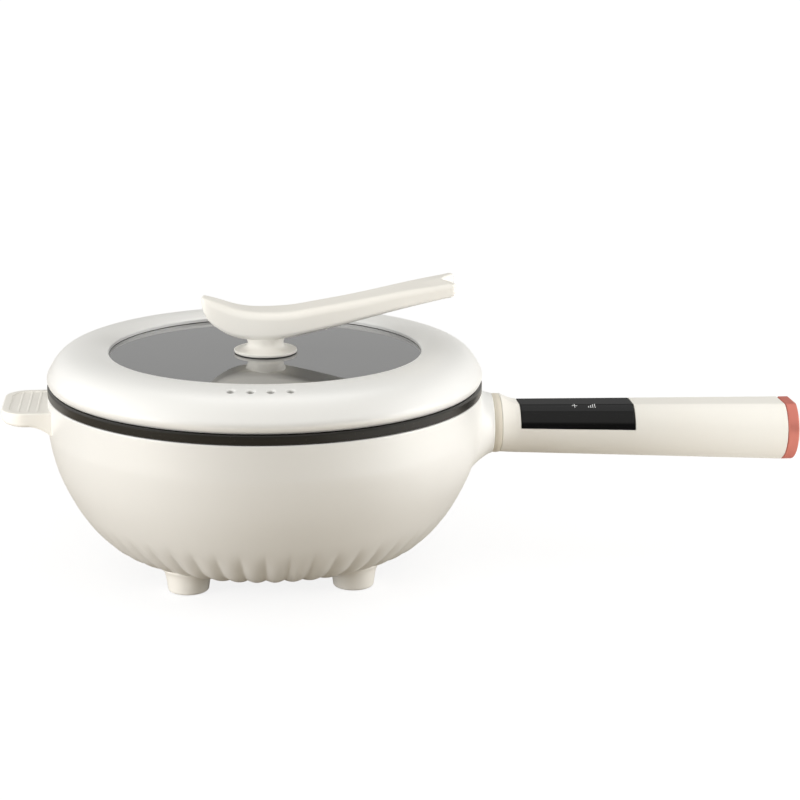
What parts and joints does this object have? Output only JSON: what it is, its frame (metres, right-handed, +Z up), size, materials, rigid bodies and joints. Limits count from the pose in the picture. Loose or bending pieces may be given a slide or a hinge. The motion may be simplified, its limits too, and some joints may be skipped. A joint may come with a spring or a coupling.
{
  "type": "electric wok",
  "caption": "Electric wok with a fluted round bowl, coated inner pot, lift-off glass lid with a fish-tail lever knob, long control handle and short ear handle.",
  "frame": {"origin": "under the middle of the bounding box, at the level of the table", "axes": "+X from the pot towards the long handle's end, +Z up, -Y to the picture's camera"},
  "size_m": [0.557, 0.3, 0.205],
  "materials": {
    "pearl_plastic": "pearl white, satin gloss",
    "cream_plastic": "warm cream, satin gloss",
    "pot_coating": "die-cast aluminium under a dark non-stick coating",
    "panel_gloss": "black, high gloss",
    "cap_coral": "coral pink with a metallic sheen",
    "plate_aluminium": "bare casting",
    "steel": "bare steel",
    "contact_brass": "bare brass",
    "soft_rubber": "pale silicone",
    "seal_rubber": "grey silicone",
    "dark_plastic": "moulded, dark",
    "board": "circuit board green",
    "lead_red": "silicone-sleeved wire",
    "lead_blue": "silicone-sleeved wire",
    "smoked_glass": "tinted, flat, polished"
  },
  "bodies": {
    "base": {"base_cover": "cream_plastic", "bracket_screw_1": "steel", "bracket_screw_2": "steel", "control_board": "board", "control_panel": "panel_gloss", "cover_screw_1": "steel", "cover_screw_2": "steel", "cover_screw_3": "steel", "ear_handle": "cream_plastic", "ear_screw_1": "steel", "ear_screw_2": "steel", "end_cap": "cap_coral", "foot_1": "cream_plastic", "foot_2": "cream_plastic", "foot_3": "cream_plastic", "foot_4": "cream_plastic", "foot_pad_1": "soft_rubber", "foot_pad_2": "soft_rubber", "foot_pad_3": "soft_rubber", "foot_pad_4": "soft_rubber", "foot_screw_1": "steel", "foot_screw_2": "steel", "foot_screw_3": "steel", "foot_screw_4": "steel", "handle_bracket": "dark_plastic", "handle_collar": "cream_plastic", "handle_screw_1": "steel", "handle_screw_2": "steel", "handle_shell": "cream_plastic", "heater_pin_1": "steel", "heater_pin_2": "steel", "heater_plate": "plate_aluminium", "heater_tube": "steel", "inlet_pin_1": "contact_brass", "inlet_pin_2": "contact_brass", "inlet_pin_3": "contact_brass", "inlet_socket": "dark_plastic", "inner_pot": "pot_coating", "lead_live": "lead_red", "lead_neutral": "lead_blue", "outer_shell": "pearl_plastic", "power_board": "board", "relay": "dark_plastic", "thermal_fuse": "dark_plastic", "thermostat": "contact_brass", "thermostat_bracket": "steel", "touch_spring_1": "steel", "touch_spring_2": "steel", "touch_spring_3": "steel"},
    "lid": {"lid_ring": "pearl_plastic", "lid_glass": "smoked_glass", "glass_seal": "seal_rubber", "lid_clamp_ring": "cream_plastic", "knob_stem": "cream_plastic", "lid_lever": "cream_plastic", "knob_washer": "soft_rubber", "knob_screw": "steel"}
  },
  "joints": [
    {"name": "lid_lift", "type": "slide", "parent": "base", "child": "lid", "axis": [0, 0, 1], "range_m": [0, 0.2]}
  ]
}
